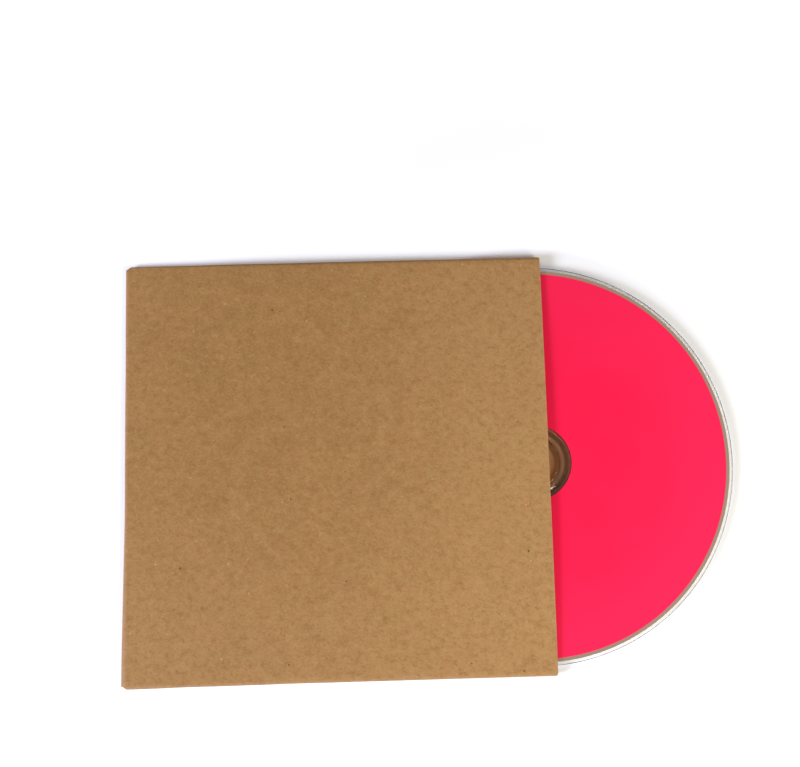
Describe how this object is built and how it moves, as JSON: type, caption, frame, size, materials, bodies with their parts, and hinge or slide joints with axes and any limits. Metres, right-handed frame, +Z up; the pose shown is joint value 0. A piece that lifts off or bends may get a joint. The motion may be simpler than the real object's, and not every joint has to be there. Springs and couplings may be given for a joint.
{
  "type": "two-panel disc sleeve",
  "caption": "Folded kraft card pocket, open at one side, that stores and protects an optical disc, shown with its printed disc drawn half out.",
  "frame": {"origin": "centre of the sleeve's underside, on the back panel", "axes": "+X from the spine fold to the opening, where the disc comes out, +Y along the opening from flap fold to flap fold, +Z up from the back panel to the front panel"},
  "size_m": [0.1828, 0.126, 0.0041],
  "materials": {
    "kraft_card": "matte",
    "clear_plastic": "clear gloss",
    "mirror": "mirror",
    "print": "satin"
  },
  "bodies": {
    "root": {"sleeve": "kraft_card", "disc_body": "clear_plastic", "mirror_layer": "mirror", "print_layer": "print"}
  },
  "joints": []
}
